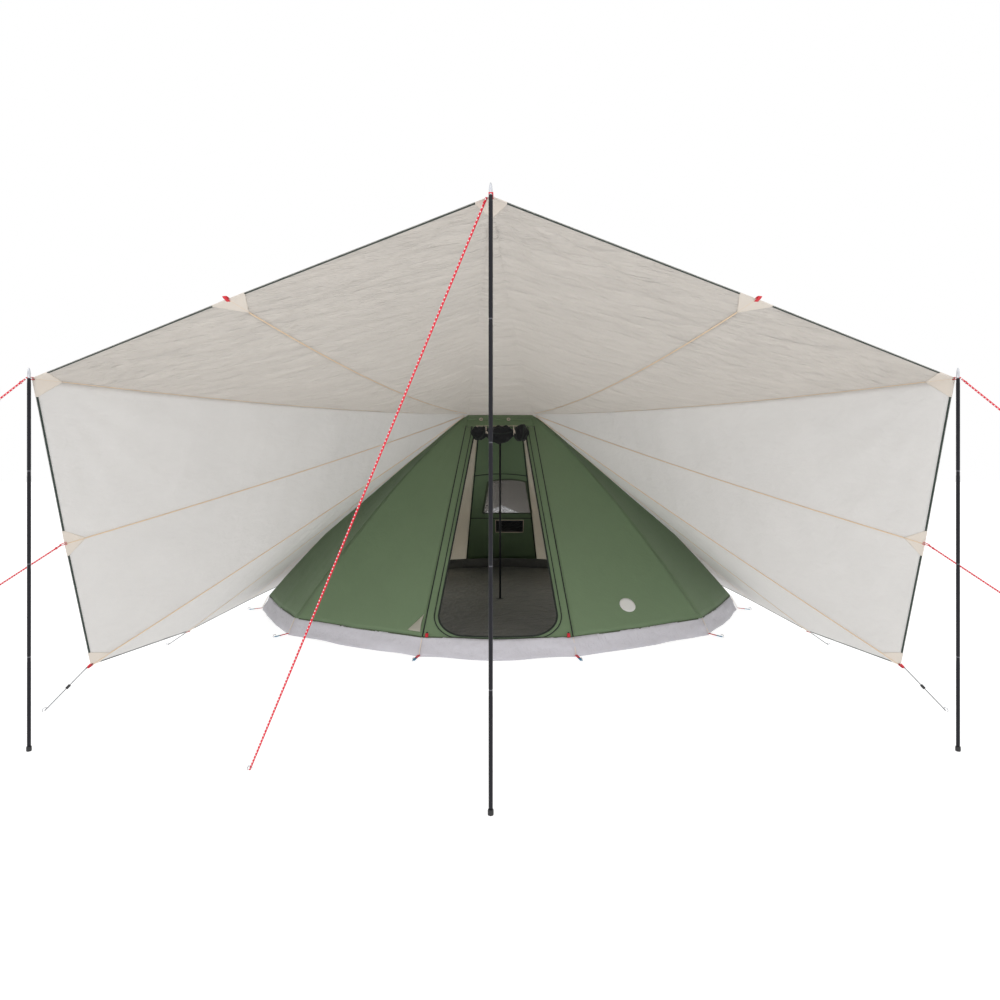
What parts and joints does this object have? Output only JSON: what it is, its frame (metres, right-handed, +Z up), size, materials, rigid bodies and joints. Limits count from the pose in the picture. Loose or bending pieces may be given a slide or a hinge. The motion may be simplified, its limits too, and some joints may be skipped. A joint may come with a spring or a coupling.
{
  "type": "teepee tent",
  "caption": "Twelve-sided teepee tent with a groundsheet, mesh door and rear window, under a large tarp on a tall front pole and two side poles that shades an open porch.",
  "frame": {"origin": "underside of the groundsheet below the centre pole", "axes": "+Y from the door towards the rear window, +Z up, +X to the right of someone looking in at the door"},
  "size_m": [6.1414, 8.882, 2.8929],
  "materials": {
    "tent_green": "woven polyester, moss green",
    "tent_cream": "woven polyester, cream",
    "skirt": "coated cloth, pale grey violet",
    "floor_sheet": "coated polyethylene cloth, dark grey",
    "tarp": "coated polyester, cream",
    "mesh": "fine black insect net",
    "webbing": "woven red webbing",
    "rope": "braided cord, red with a white fleck",
    "pole": "black coated steel tube",
    "pole_tip": "turned, bright",
    "black_plastic": "matt black"
  },
  "bodies": {
    "tent": {"groundsheet": "floor_sheet", "skirt_left": "skirt", "skirt_right": "skirt", "skirt_front": "skirt", "skirt_rear": "skirt", "wall_left_1": "tent_green", "wall_left_2": "tent_green", "wall_left_3": "tent_cream", "wall_left_4": "tent_cream", "wall_left_5": "tent_cream", "door_jamb_left": "tent_green", "tarp_roof_left": "tarp", "tarp_wing_left": "tarp", "tarp_side_left": "tarp", "pole_rope_left": "rope", "middle_rope_left": "rope", "corner_rope_left": "rope", "second_rope_left": "rope", "wall_right_1": "tent_green", "wall_right_2": "tent_green", "wall_right_3": "tent_cream", "wall_right_4": "tent_cream", "wall_right_5": "tent_cream", "door_jamb_right": "tent_green", "tarp_roof_right": "tarp", "tarp_wing_right": "tarp", "tarp_side_right": "tarp", "pole_rope_right": "rope", "middle_rope_right": "rope", "corner_rope_right": "rope", "second_rope_right": "rope", "door_header": "tent_green", "rear_panel": "tent_green", "mesh_door_roll": "mesh", "window_mesh": "mesh", "storage_pocket": "mesh", "tarp_front": "tarp", "tarp_rear": "tarp", "apex_rope": "rope", "centre_pole_foot": "black_plastic", "centre_pole_lower": "pole", "centre_pole_upper": "pole", "ridge_fitting": "black_plastic", "ridge_bar": "pole", "front_pole": "pole", "front_pole_foot": "black_plastic", "front_pole_tip": "pole_tip", "left_pole": "pole", "left_pole_foot": "black_plastic", "left_pole_tip": "pole_tip", "right_pole": "pole", "right_pole_foot": "black_plastic", "right_pole_tip": "pole_tip"},
    "zip_slider_left": {"zip_slider_left": "webbing"},
    "zip_slider_right": {"zip_slider_right": "webbing"},
    "rope_runner_left": {"rope_runner_left": "black_plastic"},
    "rope_runner_right": {"rope_runner_right": "black_plastic"}
  },
  "joints": [
    {"name": "door_zip_left", "type": "slide", "parent": "tent", "child": "zip_slider_left", "axis": [0.0781, 0.7777, 0.6238], "range_m": [0, 2.75]},
    {"name": "door_zip_right", "type": "slide", "parent": "tent", "child": "zip_slider_right", "axis": [-0.0781, 0.7777, 0.6238], "range_m": [0, 2.75]},
    {"name": "guy_runner_left", "type": "slide", "parent": "tent", "child": "rope_runner_left", "axis": [-0.467, -0.5878, -0.6606], "range_m": [-0.12, 0.14]},
    {"name": "guy_runner_right", "type": "slide", "parent": "tent", "child": "rope_runner_right", "axis": [0.467, -0.5878, -0.6606], "range_m": [-0.12, 0.14]}
  ]
}
